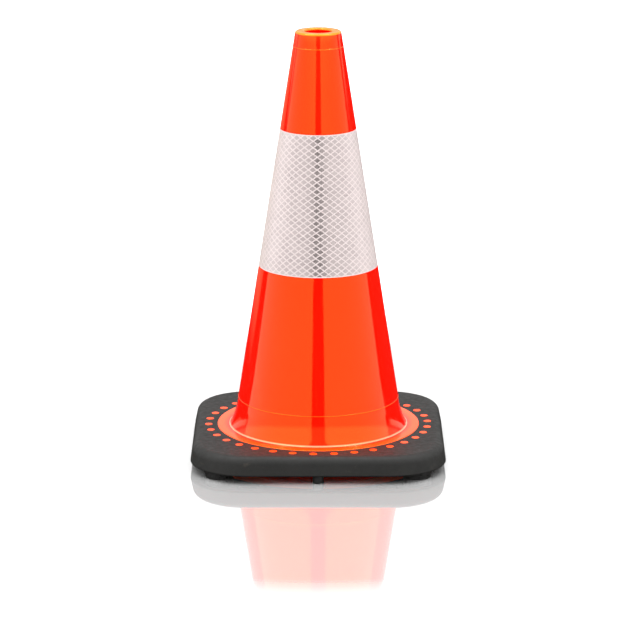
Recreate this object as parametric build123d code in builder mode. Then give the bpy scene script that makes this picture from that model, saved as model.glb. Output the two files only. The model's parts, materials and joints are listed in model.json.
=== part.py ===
from build123d import *
import os
from math import atan, atan2, cos, degrees, radians, sin, tan

# A road cone, 18 inches tall, standing with its feet on z = 0 and its axis on Z.
# An orange vinyl body is moulded into a black base: it runs down through the base's
# opening, spreads out underneath as a ring, and comes up again through a circle of
# holes as studs. One reflective collar sits in a shallow recess round the wall.
# Lengths are millimetres and angles are degrees.

# Cone wall
HEIGHT = 457.2
TIP_RADIUS = 24.2
HALF_ANGLE = 8.88
WALL = 2.6
RIM_HOLE_RADIUS = 14.4
RIM_DEPTH = 16.2
RIM_OUTER_ROUND = 2.5
RIM_INNER_ROUND = 2.0
NECK_SLOPE_HEIGHT = 9.0
FLARE_TOP = 52.8
FLARE_FOOT_RADIUS = 95.7

# Mould lines: fine beads round the wall where two mould inserts meet
MOULD_LINES = (59.8, 441.0)
BEAD_HEIGHT = 0.25
BEAD_WIDTH = 0.9
BEAD_ROOT = 0.2

# Flange, skirt and the lock under the base
FLANGE_TOP = 29.1
FLANGE_BOTTOM = 25.2
FLANGE_RADIUS = 108.9
FLANGE_ROUND = 0.8
JUNCTION_ROUND = 1.5
SKIRT_RADIUS = 98.0
SKIRT_INNER_RADIUS = 95.0
RING_TOP = 13.9
RING_BOTTOM = 10.4
RING_RADIUS = 124.0
STUD_COUNT = 34
STUD_CIRCLE_RADIUS = 118.45
STUD_TOP_RADIUS = 4.2
STUD_ROOT_RADIUS = 3.8
STUD_FIRST_ANGLE = 2.8
STUD_PROUD = 0.15

# Collar
COLLAR_BOTTOM = 204.7
COLLAR_TOP = 353.2
BACKING_THICKNESS = 0.4
FACE_THICKNESS = 0.5
EDGE_GAP = 0.2
CUT_MARGIN = 1.0
LEVEL_SLACK = 0.01
LAP_WIDTH = 12.0
LAP_ANGLE_AT = 90.0

# Base
BASE_BOTTOM = 8.2
BASE_TOP = 28.6
BASE_HALF = 136.0
CORNER_RADIUS = 61.0
SIDE_DRAFT = 11.5
TOP_EDGE_ROUND = 9.0
BOTTOM_EDGE_ROUND = 1.5
POCKET_ALONG = 22.0
POCKET_ACROSS = 10.0
POCKET_ROUND = 4.0
POCKET_DEPTH = 12.0
POCKET_OFFSET = 73.0
POCKET_FROM_AXIS = 119.0

# Feet: a round pad at each corner and a peg at the middle of each side
FOOT_RADIUS = 14.8
FOOT_OFFSET = 104.3
FOOT_ROUND = 0.8
FOOT_SPIGOT_RADIUS = 5.0
FOOT_SPIGOT_TOP = 16.9
PEG_RADIUS = 5.9
PEG_FROM_AXIS = 127.3
PEG_ROUND = 0.6
PEG_SPIGOT_RADIUS = 4.0
PEG_SPIGOT_TOP = 20.9
PEG_NOTCH_GAP = 0.15

slope = radians(HALF_ANGLE)
collar_thickness = BACKING_THICKNESS + FACE_THICKNESS

# The flare is one arc, tangent to the wall at its top, so its end angle is fixed
# by the two ends of the arc.
flare_start_radius = TIP_RADIUS + (HEIGHT - FLARE_TOP) * tan(slope)
flare_chord = atan2(FLARE_FOOT_RADIUS - flare_start_radius, FLARE_TOP - FLANGE_TOP)
flare_end_slope = 2 * flare_chord - slope


def wall_point(z, depth=0.0):
    """The point at this depth under the outer wall, square to it, below height z."""
    radius = TIP_RADIUS + (HEIGHT - z) * tan(slope)
    return (radius - depth * cos(slope), z - depth * sin(slope))


def wall_radius(z, depth=0.0):
    """The wall's radius at height z, on the cone that lies this deep under it."""
    return TIP_RADIUS + (HEIGHT - z) * tan(slope) - depth / cos(slope)


def band(bottom, top, outer_depth, inner_depth):
    """A ring section between two depths under the wall, with ends square to it."""
    return [
        wall_point(bottom, outer_depth),
        wall_point(top, outer_depth),
        wall_point(top, inner_depth),
        wall_point(bottom, inner_depth),
    ]


def bead(z):
    """A mould line's section: a low bump that is rooted a little way into the wall."""
    half = BEAD_WIDTH / 2
    return [
        wall_point(z - half, BEAD_ROOT),
        wall_point(z - half),
        wall_point(z - half / 3, -BEAD_HEIGHT),
        wall_point(z + half / 3, -BEAD_HEIGHT),
        wall_point(z + half),
        wall_point(z + half, BEAD_ROOT),
    ]


def save(piece, label):
    """Name a finished piece and write it to its own file."""
    piece.part.label = label
    export_step(piece.part, f"parts/{label}.step")


os.makedirs("parts", exist_ok=True)

foot_places = [
    (FOOT_OFFSET, FOOT_OFFSET),
    (-FOOT_OFFSET, FOOT_OFFSET),
    (-FOOT_OFFSET, -FOOT_OFFSET),
    (FOOT_OFFSET, -FOOT_OFFSET),
]


# Cone body: wall, rim, flare, flange and skirt in one turned section

wall_down = (sin(slope), -cos(slope))
neck_bottom = HEIGHT - RIM_DEPTH - NECK_SLOPE_HEIGHT
inner_flare_top = wall_point(FLARE_TOP, WALL)
inner_foot = (
    FLARE_FOOT_RADIUS - WALL * cos(flare_end_slope),
    FLANGE_TOP - WALL * sin(flare_end_slope),
)
inner_lead = (SKIRT_INNER_RADIUS - inner_foot[0]) / tan(flare_end_slope)

with BuildPart() as cone_body:
    with BuildSketch(Plane.XZ):
        with BuildLine():
            Polyline(
                (FLANGE_RADIUS, FLANGE_TOP),
                (FLANGE_RADIUS, FLANGE_BOTTOM),
                (SKIRT_RADIUS, FLANGE_BOTTOM),
                (SKIRT_RADIUS, RING_BOTTOM),
                (SKIRT_INNER_RADIUS, RING_BOTTOM),
            )
            Polyline(
                (SKIRT_INNER_RADIUS, RING_BOTTOM),
                (SKIRT_INNER_RADIUS, inner_foot[1] - inner_lead),
                inner_foot,
            )
            TangentArc(inner_flare_top, inner_foot, tangent=wall_down)
            Polyline(
                inner_flare_top,
                (wall_radius(neck_bottom, WALL), neck_bottom),
                (RIM_HOLE_RADIUS, HEIGHT - RIM_DEPTH),
                (RIM_HOLE_RADIUS, HEIGHT),
                (TIP_RADIUS, HEIGHT),
                wall_point(FLARE_TOP),
            )
            TangentArc(wall_point(FLARE_TOP), (FLARE_FOOT_RADIUS, FLANGE_TOP), tangent=wall_down)
            Line((FLARE_FOOT_RADIUS, FLANGE_TOP), (FLANGE_RADIUS, FLANGE_TOP))
        make_face()
    revolve(axis=Axis.Z)
    circles = cone_body.edges().filter_by(GeomType.CIRCLE)
    top_circles = circles.group_by(Axis.Z)[-1].sort_by(SortBy.RADIUS)
    fillet(top_circles[0], RIM_INNER_ROUND)
    outer_rim = cone_body.edges().filter_by(GeomType.CIRCLE).group_by(Axis.Z)[-1]
    fillet(outer_rim.sort_by(SortBy.RADIUS)[-1], RIM_OUTER_ROUND)
    flange_circles = cone_body.edges().filter_by(GeomType.CIRCLE).filter_by(
        lambda edge: abs(edge.center().Z - FLANGE_TOP) < LEVEL_SLACK
    ).sort_by(SortBy.RADIUS)
    fillet(flange_circles[-1], FLANGE_ROUND)
    fillet(flange_circles[0], JUNCTION_ROUND)
    for line_height in MOULD_LINES:
        with BuildSketch(Plane.XZ):
            with BuildLine():
                Polyline(*bead(line_height), close=True)
            make_face()
        revolve(axis=Axis.Z)
    with BuildSketch(Plane.XZ):
        with BuildLine():
            Polyline(*band(COLLAR_BOTTOM, COLLAR_TOP, -CUT_MARGIN, collar_thickness), close=True)
        make_face()
    revolve(axis=Axis.Z, mode=Mode.SUBTRACT)
save(cone_body, "cone_body")


# Lock ring: lies in the groove under the base, with a stud up through each hole

stud_taper = degrees(atan((STUD_TOP_RADIUS - STUD_ROOT_RADIUS) / (BASE_TOP - RING_TOP)))

with BuildPart() as lock_ring:
    with BuildSketch(Plane.XY.offset(RING_BOTTOM)):
        Circle(RING_RADIUS)
        Circle(SKIRT_RADIUS, mode=Mode.SUBTRACT)
        with PolarLocations(PEG_FROM_AXIS, 4):
            Circle(PEG_RADIUS + PEG_NOTCH_GAP, mode=Mode.SUBTRACT)
    extrude(amount=RING_TOP - RING_BOTTOM)
    with BuildSketch(Plane.XY.offset(RING_TOP)):
        with PolarLocations(STUD_CIRCLE_RADIUS, STUD_COUNT, STUD_FIRST_ANGLE):
            Circle(STUD_ROOT_RADIUS)
    extrude(amount=BASE_TOP + STUD_PROUD - RING_TOP, taper=-stud_taper)
save(lock_ring, "lock_ring")


# Base: a rounded square slab with drafted sides, moulded round the skirt

with BuildPart() as base:
    with BuildSketch(Plane.XY.offset(BASE_BOTTOM)):
        RectangleRounded(2 * BASE_HALF, 2 * BASE_HALF, CORNER_RADIUS)
    extrude(amount=BASE_TOP - BASE_BOTTOM, taper=SIDE_DRAFT)
    fillet(base.faces().sort_by(Axis.Z)[-1].edges(), TOP_EDGE_ROUND)
    fillet(base.faces().sort_by(Axis.Z)[0].edges(), BOTTOM_EDGE_ROUND)
    with BuildSketch(Plane.XY.offset(BASE_BOTTOM)):
        Circle(SKIRT_RADIUS)
    extrude(amount=BASE_TOP - BASE_BOTTOM, mode=Mode.SUBTRACT)
    with BuildSketch(Plane.XY.offset(FLANGE_BOTTOM)):
        Circle(FLANGE_RADIUS)
    extrude(amount=BASE_TOP - FLANGE_BOTTOM, mode=Mode.SUBTRACT)
    with BuildSketch(Plane.XY.offset(BASE_BOTTOM)):
        Circle(RING_RADIUS)
    extrude(amount=RING_TOP - BASE_BOTTOM, mode=Mode.SUBTRACT)
    with BuildSketch(Plane.XY.offset(RING_TOP)):
        with PolarLocations(STUD_CIRCLE_RADIUS, STUD_COUNT, STUD_FIRST_ANGLE):
            Circle(STUD_ROOT_RADIUS)
    extrude(amount=BASE_TOP - RING_TOP, taper=-stud_taper, mode=Mode.SUBTRACT)
    with BuildSketch(Plane.XY.offset(BASE_BOTTOM)):
        for quarter in range(4):
            for side in (-1, 1):
                with PolarLocations(0, 1, 90 * quarter):
                    with Locations((POCKET_FROM_AXIS, side * POCKET_OFFSET)):
                        RectangleRounded(POCKET_ACROSS, POCKET_ALONG, POCKET_ROUND)
    extrude(amount=POCKET_DEPTH, mode=Mode.SUBTRACT)
    with BuildSketch(Plane.XY.offset(BASE_BOTTOM)):
        with Locations(*foot_places):
            Circle(FOOT_SPIGOT_RADIUS)
    extrude(amount=FOOT_SPIGOT_TOP - BASE_BOTTOM, mode=Mode.SUBTRACT)
    with BuildSketch(Plane.XY.offset(RING_TOP)):
        with PolarLocations(PEG_FROM_AXIS, 4):
            Circle(PEG_SPIGOT_RADIUS)
    extrude(amount=PEG_SPIGOT_TOP - RING_TOP, mode=Mode.SUBTRACT)
    with BuildSketch(Plane.XY.offset(BASE_BOTTOM)):
        with PolarLocations(PEG_FROM_AXIS, 4):
            Circle(PEG_RADIUS)
    extrude(amount=RING_TOP - BASE_BOTTOM, mode=Mode.SUBTRACT)
save(base, "base")


# Feet: the cone stands on these eight pieces and on nothing else

with BuildPart() as corner_feet:
    with BuildSketch(Plane.XY):
        with Locations(*foot_places):
            Circle(FOOT_RADIUS)
    extrude(amount=BASE_BOTTOM)
    fillet(corner_feet.edges().group_by(Axis.Z)[0], FOOT_ROUND)
    with BuildSketch(Plane.XY.offset(BASE_BOTTOM)):
        with Locations(*foot_places):
            Circle(FOOT_SPIGOT_RADIUS)
    extrude(amount=FOOT_SPIGOT_TOP - BASE_BOTTOM)
save(corner_feet, "corner_feet")

with BuildPart() as edge_pegs:
    with BuildSketch(Plane.XY):
        with PolarLocations(PEG_FROM_AXIS, 4):
            Circle(PEG_RADIUS)
    extrude(amount=RING_TOP)
    fillet(edge_pegs.edges().group_by(Axis.Z)[0], PEG_ROUND)
    with BuildSketch(Plane.XY.offset(RING_TOP)):
        with PolarLocations(PEG_FROM_AXIS, 4):
            Circle(PEG_SPIGOT_RADIUS)
    extrude(amount=PEG_SPIGOT_TOP - RING_TOP)
save(edge_pegs, "edge_pegs")


# Collar: a backing film round the recess and a prismatic face film over it

with BuildPart() as collar_backing:
    with BuildSketch(Plane.XZ):
        with BuildLine():
            Polyline(
                *band(
                    COLLAR_BOTTOM + EDGE_GAP,
                    COLLAR_TOP - EDGE_GAP,
                    FACE_THICKNESS,
                    collar_thickness,
                ),
                close=True,
            )
        make_face()
    revolve(axis=Axis.Z)
save(collar_backing, "collar_backing")

# The face film's ends lap at the back, so it is twice as thick there
lap_angle = degrees(LAP_WIDTH / wall_radius((COLLAR_BOTTOM + COLLAR_TOP) / 2))

with BuildPart() as collar_face:
    with BuildSketch(Plane.XZ):
        with BuildLine():
            Polyline(
                *band(COLLAR_BOTTOM + EDGE_GAP, COLLAR_TOP - EDGE_GAP, 0, FACE_THICKNESS),
                close=True,
            )
        make_face()
    revolve(axis=Axis.Z)
    with BuildSketch(Plane.XZ.rotated((0, 0, LAP_ANGLE_AT - lap_angle / 2))):
        with BuildLine():
            Polyline(
                *band(
                    COLLAR_BOTTOM + EDGE_GAP,
                    COLLAR_TOP - EDGE_GAP,
                    -FACE_THICKNESS,
                    FACE_THICKNESS / 2,
                ),
                close=True,
            )
        make_face()
    revolve(axis=Axis.Z, revolution_arc=lap_angle)
save(collar_face, "collar_face")
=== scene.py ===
import json
from math import atan2, ceil, cos, hypot, pi, radians, sin, sqrt, tan

import bmesh
import bpy
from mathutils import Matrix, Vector, noise


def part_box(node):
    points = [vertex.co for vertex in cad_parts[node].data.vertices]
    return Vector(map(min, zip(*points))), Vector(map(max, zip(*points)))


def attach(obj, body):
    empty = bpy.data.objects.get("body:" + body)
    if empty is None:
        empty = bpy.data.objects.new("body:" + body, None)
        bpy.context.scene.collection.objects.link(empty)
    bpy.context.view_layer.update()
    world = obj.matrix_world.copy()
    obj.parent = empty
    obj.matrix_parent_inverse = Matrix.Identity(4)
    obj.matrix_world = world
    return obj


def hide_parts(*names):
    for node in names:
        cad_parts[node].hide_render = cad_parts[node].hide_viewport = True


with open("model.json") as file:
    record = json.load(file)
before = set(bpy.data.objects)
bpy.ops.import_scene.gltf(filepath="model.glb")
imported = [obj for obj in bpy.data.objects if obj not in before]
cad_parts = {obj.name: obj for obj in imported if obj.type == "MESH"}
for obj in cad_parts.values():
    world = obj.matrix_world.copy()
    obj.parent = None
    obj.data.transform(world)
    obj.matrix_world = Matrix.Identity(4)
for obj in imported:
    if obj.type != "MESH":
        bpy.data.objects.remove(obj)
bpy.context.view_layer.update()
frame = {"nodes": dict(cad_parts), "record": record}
record = frame["record"]
nodes = frame["nodes"]

MM = 0.001

# ---------------------------------------------------------------- sizes, in millimetres

mounts = {mount["name"]: mount for mount in record["mounts"]}
body_low, body_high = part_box("cone_body")
base_low, base_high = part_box("base")
ring_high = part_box("lock_ring")[1]
feet_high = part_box("corner_feet")[1]

HEIGHT = body_high.z / MM
FLANGE_RADIUS = body_high.x / MM
RING_BOTTOM = body_low.z / MM
BASE_TOP = base_high.z / MM
BASE_BOTTOM = base_low.z / MM
STUD_TOP = ring_high.z / MM
FOOT_OFFSET = mounts["foot_rest"]["pos_m"][0] / MM
FOOT_RADIUS = feet_high.x / MM - FOOT_OFFSET
FOOT_SPIGOT_TOP = feet_high.z / MM
RIM_HOLE_RADIUS = mounts["rim_hole"]["dims"]["r_mm"]

# The rest of the sizes are the CAD's, except three: RING_RADIUS and STUD_TOP_RADIUS are 0.1 mm
# less than in the CAD, and STUD_BURIED is how deep the stud shells run into the ring
SLOPE = radians(8.88)
TIP_RADIUS = 24.2
WALL = 2.6
RIM_DEPTH = 16.2
NECK_SLOPE_HEIGHT = 9.0
RIM_OUTER_ROUND = 2.5
RIM_INNER_ROUND = 2.0
FLARE_TOP = 52.8
FLARE_FOOT_RADIUS = 95.7
FLANGE_TOP = 29.1
FLANGE_BOTTOM = 25.2
FLANGE_ROUND = 0.8
JUNCTION_ROUND = 1.5
SKIRT_RADIUS = 98.0
SKIRT_INNER_RADIUS = 95.0
MOULD_LINES = (59.8, 441.0)
BEAD_HEIGHT = 0.25
BEAD_WIDTH = 0.9
COLLAR_BOTTOM = 204.7
COLLAR_TOP = 353.2
BACKING_THICKNESS = 0.4
FACE_THICKNESS = 0.5
EDGE_GAP = 0.2
LAP_WIDTH = 12.0
RING_TOP = 13.9
RING_RADIUS = 123.9
STUD_COUNT = 34
STUD_CIRCLE_RADIUS = 118.45
STUD_TOP_RADIUS = 4.1
STUD_ROOT_RADIUS = 3.8
STUD_FIRST_ANGLE = 2.8
PEG_FROM_AXIS = 127.3
PEG_NOTCH_RADIUS = 6.05
FOOT_ROUND = 0.8
FOOT_SPIGOT_RADIUS = 5.0
STUD_BURIED = 0.5

# ---------------------------------------------------------------- node helpers


def node_tree(name):
    """A new material with an empty tree: the material, its tree and its surface shader."""
    material = bpy.data.materials.new(name)
    material.use_nodes = True
    tree = material.node_tree
    tree.nodes.clear()
    output = tree.nodes.new("ShaderNodeOutputMaterial")
    shader = tree.nodes.new("ShaderNodeBsdfPrincipled")
    tree.links.new(shader.outputs["BSDF"], output.inputs["Surface"])
    return material, tree, shader


def noise_texture(tree, scale, detail=3.0, roughness=0.5, stretch=(1, 1, 1)):
    """A noise pattern, with scale in lumps per metre and stretch along the axes."""
    texture = tree.nodes.new("ShaderNodeTexNoise")
    texture.inputs["Scale"].default_value = scale
    texture.inputs["Detail"].default_value = detail
    texture.inputs["Roughness"].default_value = roughness
    place = tree.nodes.new("ShaderNodeTexCoord").outputs["Object"]
    mapping = tree.nodes.new("ShaderNodeMapping")
    mapping.inputs["Scale"].default_value = [1 / s for s in stretch]
    tree.links.new(place, mapping.inputs["Vector"])
    tree.links.new(mapping.outputs["Vector"], texture.inputs["Vector"])
    return texture.outputs["Fac"]


def attribute(tree, name):
    """A number stored on the mesh."""
    node = tree.nodes.new("ShaderNodeAttribute")
    node.attribute_name = name
    return node.outputs["Fac"]


def ramp(tree, factor, stops):
    """A colour ramp through (place, colour) stops."""
    node = tree.nodes.new("ShaderNodeValToRGB")
    elements = node.color_ramp.elements
    while len(elements) < len(stops):
        elements.new(0.5)
    for element, (place, colour) in zip(elements, stops):
        element.position = place
        element.color = (*colour, 1.0)
    tree.links.new(factor, node.inputs["Fac"])
    return node.outputs["Color"]


def mix_colours(tree, factor, first, second):
    """Two colours mixed by a pattern."""
    node = tree.nodes.new("ShaderNodeMix")
    node.data_type = "RGBA"
    tree.links.new(factor, node.inputs["Factor"])
    for socket, colour in ((node.inputs[6], first), (node.inputs[7], second)):
        if isinstance(colour, tuple):
            socket.default_value = (*colour, 1.0)
        else:
            tree.links.new(colour, socket)
    return node.outputs[2]


def spread(tree, factor, low, high, start=0.3, end=0.7):
    """A pattern's start to end stretched to run from low to high."""
    node = tree.nodes.new("ShaderNodeMapRange")
    node.inputs["From Min"].default_value = start
    node.inputs["From Max"].default_value = end
    node.inputs["To Min"].default_value = low
    node.inputs["To Max"].default_value = high
    tree.links.new(factor, node.inputs["Value"])
    return node.outputs["Result"]


def bump(tree, shader, layers):
    """Raise the surface by patterns, each (height, depth in metres, strength)."""
    before = None
    for height, depth, strength in layers:
        node = tree.nodes.new("ShaderNodeBump")
        node.inputs["Strength"].default_value = strength
        node.inputs["Distance"].default_value = depth
        tree.links.new(height, node.inputs["Height"])
        if before is not None:
            tree.links.new(before, node.inputs["Normal"])
        before = node.outputs["Normal"]
    tree.links.new(before, shader.inputs["Normal"])


# ---------------------------------------------------------------- materials


def orange_vinyl(name, green, roughness_low, roughness_high):
    """Glossy soft vinyl, faint upright flow lines, and highlights painted by its edge and pale masks.
    """
    material, tree, shader = node_tree(name)
    colour = ramp(
        tree,
        noise_texture(tree, 14.0, 4.0),
        [(0.3, (0.97, green * 0.8, 0.0004)), (0.7, (1.0, green * 1.25, 0.0007))],
    )
    # Painted highlights: more orange by the mesh's edge mask, a pale line by its pale mask
    colour_with_painted_orange = mix_colours(tree, attribute(tree, "edge"), colour, (1.0, 0.19, 0.008))
    colour_with_painted_line = mix_colours(tree, attribute(tree, "pale"), colour_with_painted_orange, (1.0, 0.30, 0.19))
    tree.links.new(colour_with_painted_line, shader.inputs["Base Color"])
    streaks = noise_texture(tree, 260.0, 4.0, 0.6, (1, 1, 30))
    tree.links.new(
        spread(tree, streaks, roughness_low, roughness_high), shader.inputs["Roughness"]
    )
    shader.inputs["IOR"].default_value = 1.5
    shader.inputs["Specular IOR Level"].default_value = 1.0
    shader.inputs["Specular Tint"].default_value = (1.0, 0.8, 0.12, 1.0)
    flow = noise_texture(tree, 55.0, 2.0, 0.5, (1, 1, 9))
    peel = noise_texture(tree, 700.0, 2.0)
    bump(tree, shader, [(flow, 0.02 * MM, 0.5), (peel, 0.004 * MM, 0.5)])
    return material


def black_vinyl():
    """Recycled vinyl: charcoal, matt, with a fine pebble grain and faint dusty scuffs."""
    material, tree, shader = node_tree("black_vinyl")
    body = ramp(
        tree,
        noise_texture(tree, 30.0, 6.0, 0.6),
        [(0.3, (0.007, 0.0069, 0.0063)), (0.7, (0.011, 0.0108, 0.0098))],
    )
    speck = spread(tree, noise_texture(tree, 900.0, 5.0, 0.7), 0.0, 0.35, 0.58, 0.72)
    flecked = mix_colours(tree, speck, body, (0.045, 0.042, 0.04))
    scuffs = spread(tree, noise_texture(tree, 120.0, 7.0, 0.72, (3, 3, 1)), 0.0, 0.5, 0.62, 0.72)
    colour = mix_colours(tree, scuffs, flecked, (0.05, 0.040, 0.030))
    tree.links.new(colour, shader.inputs["Base Color"])
    tree.links.new(
        spread(tree, noise_texture(tree, 180.0, 5.0), 0.46, 0.62), shader.inputs["Roughness"]
    )
    shader.inputs["Specular IOR Level"].default_value = 0.26
    grain = noise_texture(tree, 1100.0, 4.0, 0.6)
    dents = noise_texture(tree, 130.0, 3.0)
    bump(tree, shader, [(dents, 0.3 * MM, 0.5), (grain, 0.2 * MM, 0.6)])
    return material


def foot_rubber():
    """Coarse black rubber with glints on its lumps."""
    material, tree, shader = node_tree("foot_rubber")
    colour = ramp(
        tree,
        noise_texture(tree, 420.0, 5.0, 0.7),
        [(0.35, (0.005, 0.005, 0.005)), (0.75, (0.018, 0.0175, 0.017))],
    )
    tree.links.new(colour, shader.inputs["Base Color"])
    tree.links.new(
        spread(tree, noise_texture(tree, 700.0, 3.0), 0.22, 0.6), shader.inputs["Roughness"]
    )
    bump(tree, shader, [(noise_texture(tree, 650.0, 5.0, 0.65), 0.5 * MM, 0.7)])
    return material


def peg_vinyl():
    """Satin black vinyl."""
    material, tree, shader = node_tree("peg_vinyl")
    colour = ramp(
        tree,
        noise_texture(tree, 200.0, 5.0),
        [(0.3, (0.006, 0.006, 0.006)), (0.7, (0.013, 0.0126, 0.0126))],
    )
    tree.links.new(colour, shader.inputs["Base Color"])
    tree.links.new(
        spread(tree, noise_texture(tree, 500.0, 4.0), 0.34, 0.5), shader.inputs["Roughness"]
    )
    bump(tree, shader, [(noise_texture(tree, 900.0, 4.0), 0.08 * MM, 0.5)])
    return material


def film_cells():
    """Prisms behind the face film, one tone a cell, painted paler in its middle: a mirror head-on, matt
    at a slant.
    """
    material, tree, shader = node_tree("film_cells")
    tone = ramp(
        tree,
        attribute(tree, "tone"),
        [(0.0, (0.396, 0.343, 0.337)), (1.0, (0.446, 0.387, 0.38))],
    )
    # Painted shading: each cell is paler in its middle, as a pillowed cell would be lit, by the rise
    # mask
    middle = mix_colours(
        tree,
        spread(tree, attribute(tree, "rise"), 0.0, 0.3, 0.5, 1.0),
        tone,
        (0.452, 0.394, 0.387),
    )
    mottled = mix_colours(
        tree,
        spread(tree, noise_texture(tree, 900.0, 5.0, 0.7), 0.0, 0.1),
        middle,
        (0.38, 0.33, 0.325),
    )
    tree.links.new(mottled, shader.inputs["Base Color"])
    # Layer Weight drives Metallic, so the film's shade changes with the view; a constant of
    # about 0.6 doesn't, but leaves the outer cells darker
    slant = tree.nodes.new("ShaderNodeLayerWeight")
    slant.inputs["Blend"].default_value = 0.5
    tree.links.new(
        spread(tree, slant.outputs["Facing"], 1.0, 0.12, 0.01, 0.4), shader.inputs["Metallic"]
    )
    tree.links.new(
        spread(tree, noise_texture(tree, 400.0, 3.0), 0.27, 0.34), shader.inputs["Roughness"]
    )
    prisms = noise_texture(tree, 2600.0, 1.0)
    bump(tree, shader, [(prisms, 0.03 * MM, 0.15)])
    return material


def film_seal():
    """The welded lines between the cells: white film with no air behind it."""
    material, tree, shader = node_tree("film_seal")
    colour = ramp(
        tree,
        noise_texture(tree, 320.0, 5.0),
        [(0.3, (0.50, 0.43, 0.422)), (0.7, (0.54, 0.465, 0.457))],
    )
    tree.links.new(colour, shader.inputs["Base Color"])
    tree.links.new(
        spread(tree, noise_texture(tree, 250.0, 3.0), 0.26, 0.38), shader.inputs["Roughness"]
    )
    bump(tree, shader, [(noise_texture(tree, 1500.0, 3.0), 0.02 * MM, 0.4)])
    return material


def backing_film():
    """Plain white film under the face film, seen only as a hairline."""
    material, tree, shader = node_tree("backing_film")
    colour = ramp(
        tree,
        noise_texture(tree, 200.0, 4.0),
        [(0.3, (0.70, 0.66, 0.64)), (0.7, (0.78, 0.74, 0.72))],
    )
    tree.links.new(colour, shader.inputs["Base Color"])
    tree.links.new(
        spread(tree, noise_texture(tree, 300.0, 3.0), 0.45, 0.6), shader.inputs["Roughness"]
    )
    return material


paints = {
    "base": black_vinyl(),
    "edge_pegs": peg_vinyl(),
    "collar_backing": backing_film(),
}
for node_name, paint in paints.items():
    nodes[node_name].data.materials.clear()
    nodes[node_name].data.materials.append(paint)

body_paint = orange_vinyl("orange_vinyl", 0.0032, 0.05, 0.10)
stud_paint = orange_vinyl("stud_vinyl", 0.035, 0.3, 0.42)
foot_paint = foot_rubber()

# ---------------------------------------------------------------- mesh helpers


def wall_point(z, depth=0.0):
    """The point at this depth under the outer wall, square to it, below height z."""
    radius = TIP_RADIUS + (HEIGHT - z) * tan(SLOPE)
    return (radius - depth * cos(SLOPE), z - depth * sin(SLOPE))


def wall_radius(z, depth=0.0):
    """The wall's radius at height z, on the cone that lies this deep under it."""
    return TIP_RADIUS + (HEIGHT - z) * tan(SLOPE) - depth / cos(SLOPE)


def sweep(centre, start, end, steps):
    """Points along an arc between two offsets from its centre."""
    turn = start.angle(end)
    points = []
    for step in range(steps + 1):
        share = step / steps
        offset = start * sin((1 - share) * turn) + end * sin(share * turn)
        points.append(tuple(centre + offset / sin(turn)))
    return points


def rounded(before, corner, after, radius, steps=6):
    """Points round a section's corner, on an arc tangent to both its sides."""
    corner = Vector(corner)
    first = (Vector(before) - corner).normalized()
    second = (Vector(after) - corner).normalized()
    half = first.angle(second) / 2
    reach = radius / tan(half)
    centre = corner + (first + second).normalized() * (radius / sin(half))
    start = corner + first * reach - centre
    end = corner + second * reach - centre
    return sweep(centre, start, end, steps)


def flare_arc(top, foot, steps):
    """The flare: one arc, tangent to the wall at its top."""
    top = Vector(top)
    chord = Vector(foot) - top
    outward = Vector((cos(SLOPE), sin(SLOPE)))
    radius = chord.length_squared / (2 * outward.dot(chord))
    centre = top + outward * radius
    return sweep(centre, top - centre, Vector(foot) - centre, steps)


def bead(z):
    """A mould line's section, going down: a low bump on the wall."""
    half = BEAD_WIDTH / 2
    return [
        wall_point(z + half),
        wall_point(z + half / 2, -0.8 * BEAD_HEIGHT),
        wall_point(z, -BEAD_HEIGHT),
        wall_point(z - half / 2, -0.8 * BEAD_HEIGHT),
        wall_point(z - half),
    ]


def divided(section, longest, closed):
    """A section with points added so that no step is longer than this."""
    result = []
    count = len(section)
    for index in range(count if closed else count - 1):
        start = Vector(section[index])
        end = Vector(section[(index + 1) % count])
        steps = max(1, ceil((end - start).length / longest))
        for step in range(steps):
            result.append(tuple(start.lerp(end, step / steps)))
    if not closed:
        result.append(section[-1])
    return result


def turn(mesh, section, segments, closed=False, centre=(0.0, 0.0), shape=None):
    """Add a turned solid, from (radius, height) points in millimetres."""
    rings = []
    for radius, height in section:
        if radius < 1e-6:
            pole = mesh.verts.new((centre[0] * MM, centre[1] * MM, height * MM))
            rings.append([pole] * segments)
            continue
        ring = []
        for segment in range(segments):
            angle = 2 * pi * segment / segments
            reach = radius if shape is None else shape(radius, height, angle)
            x = centre[0] + reach * cos(angle)
            y = centre[1] + reach * sin(angle)
            ring.append(mesh.verts.new((x * MM, y * MM, height * MM)))
        rings.append(ring)
    if closed:
        rings.append(rings[0])
    for low, high in zip(rings, rings[1:]):
        for segment in range(segments):
            following = (segment + 1) % segments
            corners = [low[segment], low[following], high[following], high[segment]]
            unique = list(dict.fromkeys(corners))
            if len(unique) > 2:
                mesh.faces.new(unique)


def waver(mesh, layers):
    """Move every point a little along its normal, by (depth in mm, lump size in mm) layers."""
    mesh.normal_update()
    shifts = []
    for vertex in mesh.verts:
        shift = 0.0
        for depth, lump in layers:
            shift += depth * noise.noise(vertex.co / (lump * MM))
        shifts.append(vertex.normal * shift * MM)
    for vertex, shift in zip(mesh.verts, shifts):
        vertex.co += shift


def piece(name, mesh, piece_paints, stands_for, crease=38.0):
    """Turn a finished bmesh into a named piece that rides on the part."""
    bmesh.ops.recalc_face_normals(mesh, faces=mesh.faces[:])
    if mesh.calc_volume(signed=True) < 0:
        bmesh.ops.reverse_faces(mesh, faces=mesh.faces[:])
    data = bpy.data.meshes.new(name)
    mesh.to_mesh(data)
    mesh.free()
    data.polygons.foreach_set("use_smooth", [True] * len(data.polygons))
    data.set_sharp_from_angle(angle=radians(crease))
    for paint in piece_paints:
        data.materials.append(paint)
    thing = bpy.data.objects.new(name, data)
    bpy.context.scene.collection.objects.link(thing)
    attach(thing, "root")
    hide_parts(stands_for)
    return thing


# ---------------------------------------------------------------- cone shell

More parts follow.
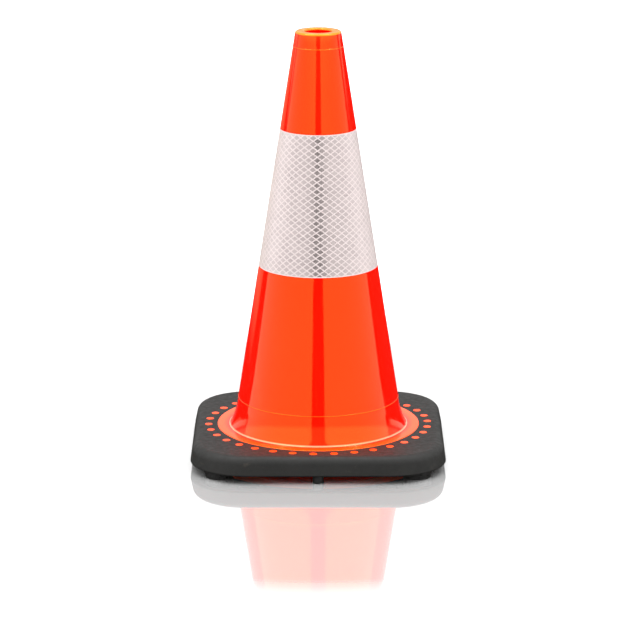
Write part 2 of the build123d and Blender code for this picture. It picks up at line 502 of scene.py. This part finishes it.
collar_thickness = BACKING_THICKNESS + FACE_THICKNESS
neck_bottom = HEIGHT - RIM_DEPTH - NECK_SLOPE_HEIGHT
flare_chord = Vector((FLARE_FOOT_RADIUS, FLANGE_TOP)) - Vector(wall_point(FLARE_TOP))
flare_end_slope = 2 * atan2(flare_chord.x, -flare_chord.y) - SLOPE
inner_foot = (
    FLARE_FOOT_RADIUS - WALL * cos(flare_end_slope),
    FLANGE_TOP - WALL * sin(flare_end_slope),
)
inner_lead = (SKIRT_INNER_RADIUS - inner_foot[0]) / tan(flare_end_slope)
outer_flare = flare_arc(wall_point(FLARE_TOP), (FLARE_FOOT_RADIUS, FLANGE_TOP), 26)
inner_flare = flare_arc(wall_point(FLARE_TOP, WALL), inner_foot, 20)

shell_section = []
shell_section += rounded(
    (RIM_HOLE_RADIUS, HEIGHT), (TIP_RADIUS, HEIGHT), wall_point(COLLAR_TOP), RIM_OUTER_ROUND, 8
)
shell_section += bead(MOULD_LINES[1])
shell_section += [
    wall_point(COLLAR_TOP),
    wall_point(COLLAR_TOP, collar_thickness),
    wall_point(COLLAR_BOTTOM, collar_thickness),
    wall_point(COLLAR_BOTTOM),
]
shell_section += bead(MOULD_LINES[0])
shell_section += outer_flare[:-2]
shell_section += rounded(
    outer_flare[-3],
    (FLARE_FOOT_RADIUS, FLANGE_TOP),
    (FLANGE_RADIUS, FLANGE_TOP),
    JUNCTION_ROUND,
)
shell_section += rounded(
    (FLARE_FOOT_RADIUS, FLANGE_TOP),
    (FLANGE_RADIUS, FLANGE_TOP),
    (FLANGE_RADIUS, FLANGE_BOTTOM),
    FLANGE_ROUND,
)
shell_section += [
    (FLANGE_RADIUS, FLANGE_BOTTOM),
    (SKIRT_RADIUS, FLANGE_BOTTOM),
    (SKIRT_RADIUS, RING_BOTTOM),
    (SKIRT_INNER_RADIUS, RING_BOTTOM),
    (SKIRT_INNER_RADIUS, inner_foot[1] - inner_lead),
]
shell_section += inner_flare[::-1]
shell_section += [
    (wall_radius(neck_bottom, WALL), neck_bottom),
    (RIM_HOLE_RADIUS, HEIGHT - RIM_DEPTH),
]
shell_section += rounded(
    (RIM_HOLE_RADIUS, HEIGHT - RIM_DEPTH),
    (RIM_HOLE_RADIUS, HEIGHT),
    (TIP_RADIUS, HEIGHT),
    RIM_INNER_ROUND,
    8,
)

shell = bmesh.new()
SHELL_STEP = 7.0
SHELL_SEGMENTS = 256
WALL_WAVER = [(0.08, 60.0), (0.012, 17.0)]
turn(shell, divided(shell_section, SHELL_STEP, True), SHELL_SEGMENTS, True)
waver(shell, WALL_WAVER)
for vertex in shell.verts:
    vertex.co.z = min(vertex.co.z, HEIGHT * MM)

# Painted in place of highlights: the rim's lip, mould lines and flange are more orange, and a
# pale line runs round the flare's foot
LIP_PAINTED_HIGHLIGHT = 0.9
MOULD_LINE_PAINTED_HIGHLIGHT = 0.35
FLANGE_PAINTED_HIGHLIGHT = 0.3
JUNCTION_PAINTED_HIGHLIGHT = 0.85
painted_orange_highlight_layer = shell.verts.layers.float.new("edge")
painted_pale_highlight_layer = shell.verts.layers.float.new("pale")
for vertex in shell.verts:
    radius = hypot(vertex.co.x, vertex.co.y) / MM
    height = vertex.co.z / MM
    proud = radius - wall_radius(height)
    if height > HEIGHT - RIM_OUTER_ROUND * 0.75:
        vertex[painted_orange_highlight_layer] = LIP_PAINTED_HIGHLIGHT
    if min(abs(height - line) for line in MOULD_LINES) < BEAD_WIDTH * 0.4 and proud > 0.1:
        vertex[painted_orange_highlight_layer] = MOULD_LINE_PAINTED_HIGHLIGHT
    if radius > FLARE_FOOT_RADIUS + 1 and height > FLANGE_TOP - FLANGE_ROUND:
        vertex[painted_orange_highlight_layer] = FLANGE_PAINTED_HIGHLIGHT
    if abs(radius - FLARE_FOOT_RADIUS) < JUNCTION_ROUND * 0.35 and height > FLANGE_TOP - 0.1:
        vertex[painted_pale_highlight_layer] = JUNCTION_PAINTED_HIGHLIGHT
piece("cone_shell", shell, [body_paint], "cone_body")

# ---------------------------------------------------------------- lock ring and studs

peg_notch_reach = PEG_NOTCH_RADIUS / PEG_FROM_AXIS


def notched(radius, height, angle):
    """The ring's outer edge, cut back round each peg."""
    if radius < RING_RADIUS:
        return radius
    away = (angle + pi / 4) % (pi / 2) - pi / 4
    if abs(sin(away)) > peg_notch_reach:
        return radius
    half_chord = sqrt(PEG_NOTCH_RADIUS**2 - (PEG_FROM_AXIS * sin(away)) ** 2)
    return min(radius, PEG_FROM_AXIS * cos(away) - half_chord)


ring = bmesh.new()
ring_section = [
    (SKIRT_RADIUS, RING_BOTTOM),
    (RING_RADIUS, RING_BOTTOM),
    (RING_RADIUS, RING_TOP),
    (SKIRT_RADIUS, RING_TOP),
]
RING_SEGMENTS = 720
turn(ring, ring_section, RING_SEGMENTS, True, shape=notched)

STUD_SEGMENTS = 28
STUD_SIZE_SPREAD = 0.05
STUD_RISE_SPREAD = 0.02
STUD_RAGGEDNESS = 0.028
for stud in range(STUD_COUNT):
    bearing = radians(STUD_FIRST_ANGLE + 360 / STUD_COUNT * stud)
    where = (STUD_CIRCLE_RADIUS * cos(bearing), STUD_CIRCLE_RADIUS * sin(bearing))
    size = 1 + STUD_SIZE_SPREAD * noise.noise(Vector((stud * 1.7, 0.3, 0.8)))
    rise = STUD_RISE_SPREAD * noise.noise(Vector((0.4, stud * 2.3, 0.1)))

    def ragged(radius, height, angle, stud=stud):
        """A trimmed edge that isn't quite round."""
        spot = Vector((1.4 * cos(angle), 1.4 * sin(angle), stud * 3.1))
        return radius * (1 + STUD_RAGGEDNESS * noise.noise(spot) * (height > RING_TOP + 1))

    stud_section = [
        (0.0, RING_TOP - STUD_BURIED),
        (STUD_ROOT_RADIUS - 0.05, RING_TOP - STUD_BURIED),
        (STUD_TOP_RADIUS - 0.08, BASE_TOP - 1.0),
        ((STUD_TOP_RADIUS + 0.02) * size, BASE_TOP - 0.05),
        (STUD_TOP_RADIUS * 0.97 * size, STUD_TOP - 0.06 + rise * 0.5),
        (STUD_TOP_RADIUS * 0.8 * size, STUD_TOP - 0.02 + rise * 0.5),
        (STUD_TOP_RADIUS * 0.4 * size, STUD_TOP - 0.025),
        (0.0, STUD_TOP - 0.03),
    ]
    turn(ring, stud_section, STUD_SEGMENTS, centre=where, shape=ragged)
piece("lock_ring_studs", ring, [stud_paint], "lock_ring")

# ---------------------------------------------------------------- corner feet

FOOT_GRAIN = 0.28
FOOT_LUMP = 1.9
FOOT_STEP = 0.8
FOOT_SEGMENTS = 120
feet = bmesh.new()
foot_section = [(0.0, 0.0)]
foot_section += rounded((0.0, 0.0), (FOOT_RADIUS, 0.0), (FOOT_RADIUS, BASE_BOTTOM), FOOT_ROUND, 6)
foot_section += [
    (FOOT_RADIUS, BASE_BOTTOM),
    (FOOT_SPIGOT_RADIUS, BASE_BOTTOM),
    (FOOT_SPIGOT_RADIUS, FOOT_SPIGOT_TOP),
    (0.0, FOOT_SPIGOT_TOP),
]
for x_side, y_side in ((1, 1), (-1, 1), (-1, -1), (1, -1)):
    turn(
        feet,
        divided(foot_section, FOOT_STEP, False),
        FOOT_SEGMENTS,
        centre=(x_side * FOOT_OFFSET, y_side * FOOT_OFFSET),
    )
feet.normal_update()
for vertex in feet.verts:
    height = vertex.co.z / MM
    if height < FOOT_ROUND * 0.2 or height > BASE_BOTTOM - 0.3:
        continue
    lump = noise.fractal(vertex.co / (FOOT_LUMP * MM), 0.8, 2.0, 3)
    vertex.co -= vertex.normal * (FOOT_GRAIN * (0.6 + lump) * 0.6) * MM
piece("corner_feet_grained", feet, [foot_paint], "corner_feet", 60.0)

# ---------------------------------------------------------------- collar

CELL_WIDTH = 9.33
CELL_HEIGHT = 6.64
CELL_SKEW = radians(-0.93)
CELL_PHASE_U = 3.75
CELL_PHASE_V = -0.43
SEAL_WIDTH = 1.0
SHOULDER_SHARE = 0.03
PILLOW = 0.045
FILM_BORDER = 1.0
STRIP = 3.5
RAMP_WIDTH = 4.0

apex = HEIGHT + TIP_RADIUS / tan(SLOPE)
slant_top = (apex - COLLAR_TOP + EDGE_GAP) / cos(SLOPE)
slant_bottom = (apex - COLLAR_BOTTOM - EDGE_GAP) / cos(SLOPE)
slant_middle = (slant_top + slant_bottom) / 2
lap_angle = LAP_WIDTH / wall_radius((COLLAR_BOTTOM + COLLAR_TOP) / 2)
ramp_angle = RAMP_WIDTH / wall_radius((COLLAR_BOTTOM + COLLAR_TOP) / 2)
end_x = (pi + lap_angle / 2) * sin(SLOPE) * slant_middle

line_pitch = CELL_WIDTH * CELL_HEIGHT / hypot(CELL_WIDTH, CELL_HEIGHT)
seal_share = SEAL_WIDTH / 2 / line_pitch
shoulder = seal_share + SHOULDER_SHARE
STEPS = (0.0, seal_share, shoulder, 0.5, 1 - shoulder, 1 - seal_share)
# RISES also grade the painted shading that makes each cell's middle paler
RISES = (0.0, 0.0, 0.5, 1.0, 0.5, 0.0)
CREASE = 7.0
LAP_GAP = 0.01
STEP_COUNT = len(STEPS)

film = bmesh.new()
pillow_painted_shade_layer = film.verts.layers.float.new("rise")
flat_layer = film.verts.layers.float.new("flat")
middle_layer = film.verts.layers.float.new("middle")
tone_layer = film.faces.layers.float.new("tone")
made = {}


def unrolled(p, q):
    """A lattice point on the unrolled film: (along the collar, distance from the apex)."""
    u = (p - q) * CELL_WIDTH / 2 + CELL_PHASE_U
    v = (p + q) * CELL_HEIGHT / 2 + CELL_PHASE_V
    return (atan2(u, v) + CELL_SKEW) * slant_middle, hypot(u, v)


def lattice_vertex(a, b):
    """The film's point at step a of one line family and step b of the other."""
    if (a, b) not in made:
        x, y = unrolled(
            a // STEP_COUNT + STEPS[a % STEP_COUNT],
            b // STEP_COUNT + STEPS[b % STEP_COUNT],
        )
        rise = RISES[a % STEP_COUNT] * RISES[b % STEP_COUNT]
        flat = float(rise > 0)
        vertex = film.verts.new((x, y, PILLOW * (flat - 1)))
        vertex[pillow_painted_shade_layer] = rise
        vertex[flat_layer] = flat
        vertex[middle_layer] = unrolled(a // STEP_COUNT + 0.5, b // STEP_COUNT + 0.5)[0]
        made[(a, b)] = vertex
    return made[(a, b)]


reach = ceil(slant_bottom * 1.05 / CELL_HEIGHT)
for p_cell in range(2 * reach):
    for q_cell in range(2 * reach):
        x, y = unrolled(p_cell + 0.5, q_cell + 0.5)
        if not slant_top - CELL_HEIGHT < y < slant_bottom + CELL_HEIGHT:
            continue
        if abs(x) > end_x + 1.4 * CELL_WIDTH:
            continue
        tone = 0.5 + 0.9 * noise.noise(Vector((p_cell * 0.77, q_cell * 0.91, 0.5)))
        for i in range(STEP_COUNT):
            for j in range(STEP_COUNT):
                a = p_cell * STEP_COUNT + i
                b = q_cell * STEP_COUNT + j
                face = film.faces.new(
                    (
                        lattice_vertex(a, b),
                        lattice_vertex(a + 1, b),
                        lattice_vertex(a + 1, b + 1),
                        lattice_vertex(a, b + 1),
                    )
                )
                edge_steps = (0, STEP_COUNT - 1)
                face.material_index = int(i in edge_steps or j in edge_steps)
                face[tone_layer] = tone


def cut(mesh, geometry, place, normal, clear):
    """Cut along a plane, and drop what lies on the side that the normal points to."""
    return bmesh.ops.bisect_plane(
        mesh, geom=geometry, dist=1e-5, plane_co=place, plane_no=normal, clear_outer=clear
    )["geom"]


edges_of_film = [
    ((end_x, 0, 0), (1, 0, 0)),
    ((-end_x, 0, 0), (-1, 0, 0)),
    ((0, slant_bottom, 0), (0, 1, 0)),
    ((0, slant_top, 0), (0, -1, 0)),
]
for place, normal in edges_of_film:
    everything = film.verts[:] + film.edges[:] + film.faces[:]
    cut(film, everything, place, normal, True)
for place, normal in edges_of_film:
    everything = film.verts[:] + film.edges[:] + film.faces[:]
    cut(film, everything, Vector(place) - Vector(normal) * FILM_BORDER, normal, False)


def in_border(point, slack):
    """Whether a point of the unrolled film is in its welded border."""
    inner_x = end_x - FILM_BORDER - slack
    low_y = slant_top + FILM_BORDER + slack
    high_y = slant_bottom - FILM_BORDER - slack
    return abs(point.x) > inner_x or not low_y < point.y < high_y


for vertex in film.verts:
    if in_border(vertex.co, 1e-3):
        vertex.co.z = -PILLOW
        vertex[pillow_painted_shade_layer] = 0.0
        vertex[flat_layer] = 0.0
for face in film.faces:
    if in_border(face.calc_center_median(), -1e-3):
        face.material_index = 1

rim_edges = [edge for edge in film.edges if edge.is_boundary]
walls = bmesh.ops.extrude_edge_only(film, edges=rim_edges)["geom"]
for item in walls:
    if isinstance(item, bmesh.types.BMVert):
        item.co.z = -FACE_THICKNESS
    if isinstance(item, bmesh.types.BMFace):
        item.material_index = 1
under_edges = [edge for edge in film.edges if edge.is_boundary]
under = bmesh.ops.edgeloop_fill(film, edges=under_edges)["faces"]
for face in under:
    face.material_index = 1
geometry = list(under)
for face in under:
    geometry += face.edges[:]
    geometry += face.verts[:]
strips = ceil(2 * end_x / STRIP)
for strip in range(1, strips):
    place = (-end_x + 2 * end_x * strip / strips, 0, 0)
    geometry = cut(film, geometry, place, (1, 0, 0), False)

lap_start = pi - lap_angle / 2
for vertex in film.verts:
    azimuth = vertex.co.x / slant_middle / sin(SLOPE)
    share = min(1.0, max(0.0, (azimuth - lap_start + ramp_angle) / ramp_angle))
    lift = (FACE_THICKNESS - LAP_GAP) * share * share * (3 - 2 * share)
    depth = -vertex.co.z - lift
    slant = vertex.co.y
    radius = slant * sin(SLOPE) - depth * cos(SLOPE)
    if vertex[flat_layer] > 0.99:
        # A cell is a flat facet, so its points stand further out away from its middle
        turned = (vertex.co.x - vertex[middle_layer]) / slant_middle / sin(SLOPE)
        radius /= cos(turned)
    height = apex - slant * cos(SLOPE) - depth * sin(SLOPE)
    vertex.co = (radius * sin(azimuth) * MM, -radius * cos(azimuth) * MM, height * MM)
piece(
    "collar_lattice",
    film,
    [film_cells(), film_seal()],
    "collar_face",
    CREASE,
)

# ---------------------------------------------------------------- stage

# A pale floor with studio tricks. It mirrors the part near its foot and fades to matt. Gloss
# elsewhere sees a painted glow on the floor: white as far as the softboxes' line, so that their
# reflections run on down the wall, warmer and fainter far behind on the left, dim elsewhere.


def arithmetic(tree, operation, first, second):
    """A Math node on two inputs, each a number or an output."""
    node = tree.nodes.new("ShaderNodeMath")
    node.operation = operation
    for socket, value in zip(node.inputs, (first, second)):
        if isinstance(value, (int, float)):
            socket.default_value = value
        else:
            tree.links.new(value, socket)
    return node.outputs[0]


RIGHT_BOX = (radians(9), radians(103))
LEFT_BOX = (radians(9), radians(109))
BACK_GLOW_FROM = radians(127)
BOX_RADIANCE = 1.15
BOX_LINE = (0.994, 0.11, 1.11)
FLOOR_REACH = 12.0
FLOOR_POLISH = 0.04
FLOOR_ALBEDO = 0.74
FLOOR_MIRROR = 0.74
MIRROR_FADE = (0.44, 0.6)
FLOOR_IN_GLOSS = 0.03
FLOOR_IN_GLOSS_LEFT = 0.45
FLOOR_GLOSS_FROM = (0.24, 0.34)
LEFT_GLOSS_FROM = (0.7, 1.3)

floor_mesh = bpy.data.meshes.new("floor")
floor_mesh.from_pydata(
    [
        (-FLOOR_REACH, -FLOOR_REACH, 0),
        (FLOOR_REACH, -FLOOR_REACH, 0),
        (FLOOR_REACH, FLOOR_REACH, 0),
        (-FLOOR_REACH, FLOOR_REACH, 0),
    ],
    [],
    [(0, 1, 2, 3)],
)
floor_object = bpy.data.objects.new("floor", floor_mesh)
bpy.context.scene.collection.objects.link(floor_object)
floor_material = bpy.data.materials.new("floor")
floor_material.use_nodes = True
floor_tree = floor_material.node_tree
floor_tree.nodes.clear()
floor_output = floor_tree.nodes.new("ShaderNodeOutputMaterial")
matt = floor_tree.nodes.new("ShaderNodeBsdfDiffuse")
matt.inputs["Color"].default_value = (FLOOR_ALBEDO, FLOOR_ALBEDO, FLOOR_ALBEDO, 1)
shine = floor_tree.nodes.new("ShaderNodeBsdfGlossy")
shine.inputs["Color"].default_value = (1, 1, 1, 1)
shine.inputs["Roughness"].default_value = FLOOR_POLISH
surface = floor_tree.nodes.new("ShaderNodeMixShader")
floor_tree.links.new(matt.outputs[0], surface.inputs[1])
floor_tree.links.new(shine.outputs[0], surface.inputs[2])
place_on_floor = floor_tree.nodes.new("ShaderNodeNewGeometry").outputs["Position"]
spot = floor_tree.nodes.new("ShaderNodeSeparateXYZ")
floor_tree.links.new(place_on_floor, spot.inputs[0])
sideways = arithmetic(floor_tree, "ABSOLUTE", spot.outputs["X"], 0.0)
azimuth = arithmetic(
    floor_tree, "ARCTAN2", sideways, arithmetic(floor_tree, "MULTIPLY", spot.outputs["Y"], -1.0)
)
on_left = arithmetic(floor_tree, "LESS_THAN", spot.outputs["X"], 0.0)
away = floor_tree.nodes.new("ShaderNodeVectorMath")
away.operation = "LENGTH"
floor_tree.links.new(place_on_floor, away.inputs[0])
floor_tree.links.new(
    spread(floor_tree, away.outputs["Value"], FLOOR_MIRROR, 0.0, *MIRROR_FADE),
    surface.inputs["Fac"],
)
within_boxes = arithmetic(
    floor_tree,
    "LESS_THAN",
    arithmetic(
        floor_tree,
        "SUBTRACT",
        arithmetic(floor_tree, "MULTIPLY", sideways, BOX_LINE[0]),
        arithmetic(floor_tree, "MULTIPLY", spot.outputs["Y"], BOX_LINE[1]),
    ),
    BOX_LINE[2],
)
far_side = arithmetic(
    floor_tree,
    "ADD",
    arithmetic(floor_tree, "MULTIPLY", on_left, LEFT_BOX[1] - RIGHT_BOX[1]),
    RIGHT_BOX[1],
)
beside = arithmetic(
    floor_tree,
    "MULTIPLY",
    arithmetic(
        floor_tree,
        "MULTIPLY",
        within_boxes,
        spread(floor_tree, away.outputs["Value"], 0.0, 1.0, *FLOOR_GLOSS_FROM),
    ),
    arithmetic(
        floor_tree,
        "MULTIPLY",
        arithmetic(floor_tree, "GREATER_THAN", azimuth, RIGHT_BOX[0]),
        arithmetic(floor_tree, "LESS_THAN", azimuth, far_side),
    ),
)
behind_left = arithmetic(
    floor_tree,
    "MULTIPLY",
    spread(floor_tree, away.outputs["Value"], 0.0, 1.0, *LEFT_GLOSS_FROM),
    arithmetic(
        floor_tree, "MULTIPLY", on_left, arithmetic(floor_tree, "GREATER_THAN", azimuth, BACK_GLOW_FROM)
    ),
)
level = arithmetic(
    floor_tree,
    "ADD",
    arithmetic(
        floor_tree,
        "ADD",
        arithmetic(floor_tree, "MULTIPLY", beside, BOX_RADIANCE),
        arithmetic(floor_tree, "MULTIPLY", behind_left, FLOOR_IN_GLOSS_LEFT),
    ),
    FLOOR_IN_GLOSS,
)
# Painted light: the floor glows for gloss, standing in for the softboxes' light falling on it
painted_floor_glow = floor_tree.nodes.new("ShaderNodeEmission")
floor_tree.links.new(
    mix_colours(floor_tree, beside, (1.0, 0.8, 0.5), (1.0, 1.0, 1.0)),
    painted_floor_glow.inputs["Color"],
)
floor_tree.links.new(level, painted_floor_glow.inputs["Strength"])
floor_path = floor_tree.nodes.new("ShaderNodeLightPath")
floor_switch = floor_tree.nodes.new("ShaderNodeMixShader")
floor_tree.links.new(floor_path.outputs["Is Glossy Ray"], floor_switch.inputs["Fac"])
floor_tree.links.new(surface.outputs[0], floor_switch.inputs[1])
floor_tree.links.new(painted_floor_glow.outputs[0], floor_switch.inputs[2])
floor_tree.links.new(floor_switch.outputs[0], floor_output.inputs["Surface"])
floor_mesh.materials.append(floor_material)

# ---------------------------------------------------------------- lights


def softbox(name, centre, look_at, width, height, radiance):
    """A rectangular light of this radiance that gloss sees and matt surfaces don't."""
    light = bpy.data.lights.new(name, "AREA")
    light.shape = "RECTANGLE"
    light.size = width
    light.size_y = height
    light.energy = radiance * width * height * pi
    lamp = bpy.data.objects.new(name, light)
    lamp.location = centre
    lamp.rotation_euler = (Vector(look_at) - Vector(centre)).to_track_quat("-Z", "Y").to_euler()
    lamp.visible_diffuse = False
    bpy.context.scene.collection.objects.link(lamp)
    return lamp


SOFTBOX_HEIGHT = 2.6
SOFTBOX_NEAR = 4.2
SOFTBOX_FAR = 1.2


def side_softbox(name, side, near, far, radiance):
    """A tall light wall between two (azimuth from the front, distance) points."""
    ends = [Vector((side * sin(a) * d, -cos(a) * d, 0)) for a, d in (near, far)]
    middle = (ends[0] + ends[1]) / 2
    height = SOFTBOX_HEIGHT
    centre = Vector((middle.x, middle.y, height / 2))
    normal = Vector((0, 0, 1)).cross(ends[1] - ends[0]).normalized()
    if normal.dot(-middle) < 0:
        normal = -normal
    return softbox(name, centre, centre + normal, (ends[1] - ends[0]).length, height, radiance)


side_softbox(
    "right_softbox", 1, (RIGHT_BOX[0], SOFTBOX_NEAR), (RIGHT_BOX[1], SOFTBOX_FAR), BOX_RADIANCE
)
side_softbox(
    "left_softbox", -1, (LEFT_BOX[0], SOFTBOX_NEAR), (LEFT_BOX[1], SOFTBOX_FAR), BOX_RADIANCE
)
softbox("overhead", (0, 0.1, 2.2), (0, 0, 0), 2.6, 0.8, 6.0)
# Two fills that matt surfaces see and gloss doesn't
for side in (-1, 1):
    fill = softbox("side_fill", (side * 1.45, 0.65, 0.7), (0, 0, 0.2), 1.0, 1.0, 3.0)
    fill.visible_diffuse = True
    fill.visible_glossy = False

# The world lights matt surfaces as a soft sky. Gloss sees an even glow above the horizon instead,
# fainter in front, with a low panel behind.
SKY_ZENITH = 5.2
SKY_LEVEL = 0.25
BACKDROP = 0.75
FRONT_GAP = (radians(9), radians(15))
FRONT_SHARE = 0.55
BACK_PANEL = 0.9
BACK_PANEL_FROM = (radians(112), radians(118))
BACK_PANEL_TOP = (0.09, 0.12)
GLOW_FROM = (0.1, 0.2)
GLOSS_LEAST = 0.04

world = bpy.data.worlds.new("studio")
bpy.context.scene.world = world
world.use_nodes = True
world_tree = world.node_tree
world_tree.nodes.clear()
world_output = world_tree.nodes.new("ShaderNodeOutputWorld")
path = world_tree.nodes.new("ShaderNodeLightPath")
direction = world_tree.nodes.new("ShaderNodeSeparateXYZ")
world_tree.links.new(
    world_tree.nodes.new("ShaderNodeTexCoord").outputs["Generated"], direction.inputs[0]
)
up = arithmetic(world_tree, "MAXIMUM", direction.outputs["Z"], 0.0)
sky = world_tree.nodes.new("ShaderNodeBackground")
world_tree.links.new(
    arithmetic(
        world_tree,
        "ADD",
        arithmetic(world_tree, "MULTIPLY", arithmetic(world_tree, "MULTIPLY", up, up), SKY_ZENITH),
        SKY_LEVEL,
    ),
    sky.inputs["Strength"],
)
bearing = arithmetic(
    world_tree,
    "ARCTAN2",
    arithmetic(world_tree, "ABSOLUTE", direction.outputs["X"], 0.0),
    arithmetic(world_tree, "MULTIPLY", direction.outputs["Y"], -1.0),
)
above = arithmetic(
    world_tree,
    "MULTIPLY",
    spread(world_tree, direction.outputs["Z"], 0.0, BACKDROP, *GLOW_FROM),
    spread(world_tree, bearing, FRONT_SHARE, 1.0, *FRONT_GAP),
)
low_behind = arithmetic(
    world_tree,
    "MULTIPLY",
    spread(world_tree, direction.outputs["Z"], BACK_PANEL, 0.0, *BACK_PANEL_TOP),
    spread(world_tree, bearing, 0.0, 1.0, *BACK_PANEL_FROM),
)
gloss = world_tree.nodes.new("ShaderNodeBackground")
world_tree.links.new(
    arithmetic(world_tree, "ADD", arithmetic(world_tree, "ADD", above, low_behind), GLOSS_LEAST),
    gloss.inputs["Strength"],
)
for background in (sky, gloss):
    background.inputs["Color"].default_value = (1, 1, 1, 1)
world_mix = world_tree.nodes.new("ShaderNodeMixShader")
world_tree.links.new(path.outputs["Is Glossy Ray"], world_mix.inputs["Fac"])
world_tree.links.new(sky.outputs["Background"], world_mix.inputs[1])
world_tree.links.new(gloss.outputs["Background"], world_mix.inputs[2])
world_tree.links.new(world_mix.outputs["Shader"], world_output.inputs["Surface"])

bpy.context.scene.view_settings.view_transform = "Standard"

# ---------------------------------------------------------------- camera

CAMERA_DISTANCE = 3.4916
CAMERA_HEIGHT = 1.0415
CAMERA_SIDE = 0.0019
CAMERA_PITCH = 14.43
CAMERA_LENS = 188.8

camera_data = bpy.data.cameras.new("camera")
camera_data.lens = CAMERA_LENS
camera_data.sensor_width = 36
camera = bpy.data.objects.new("camera", camera_data)
camera.location = (CAMERA_SIDE, -CAMERA_DISTANCE, CAMERA_HEIGHT)
camera.rotation_euler = (pi / 2 - radians(CAMERA_PITCH), 0, 0)
bpy.context.scene.collection.objects.link(camera)
bpy.context.scene.camera = camera
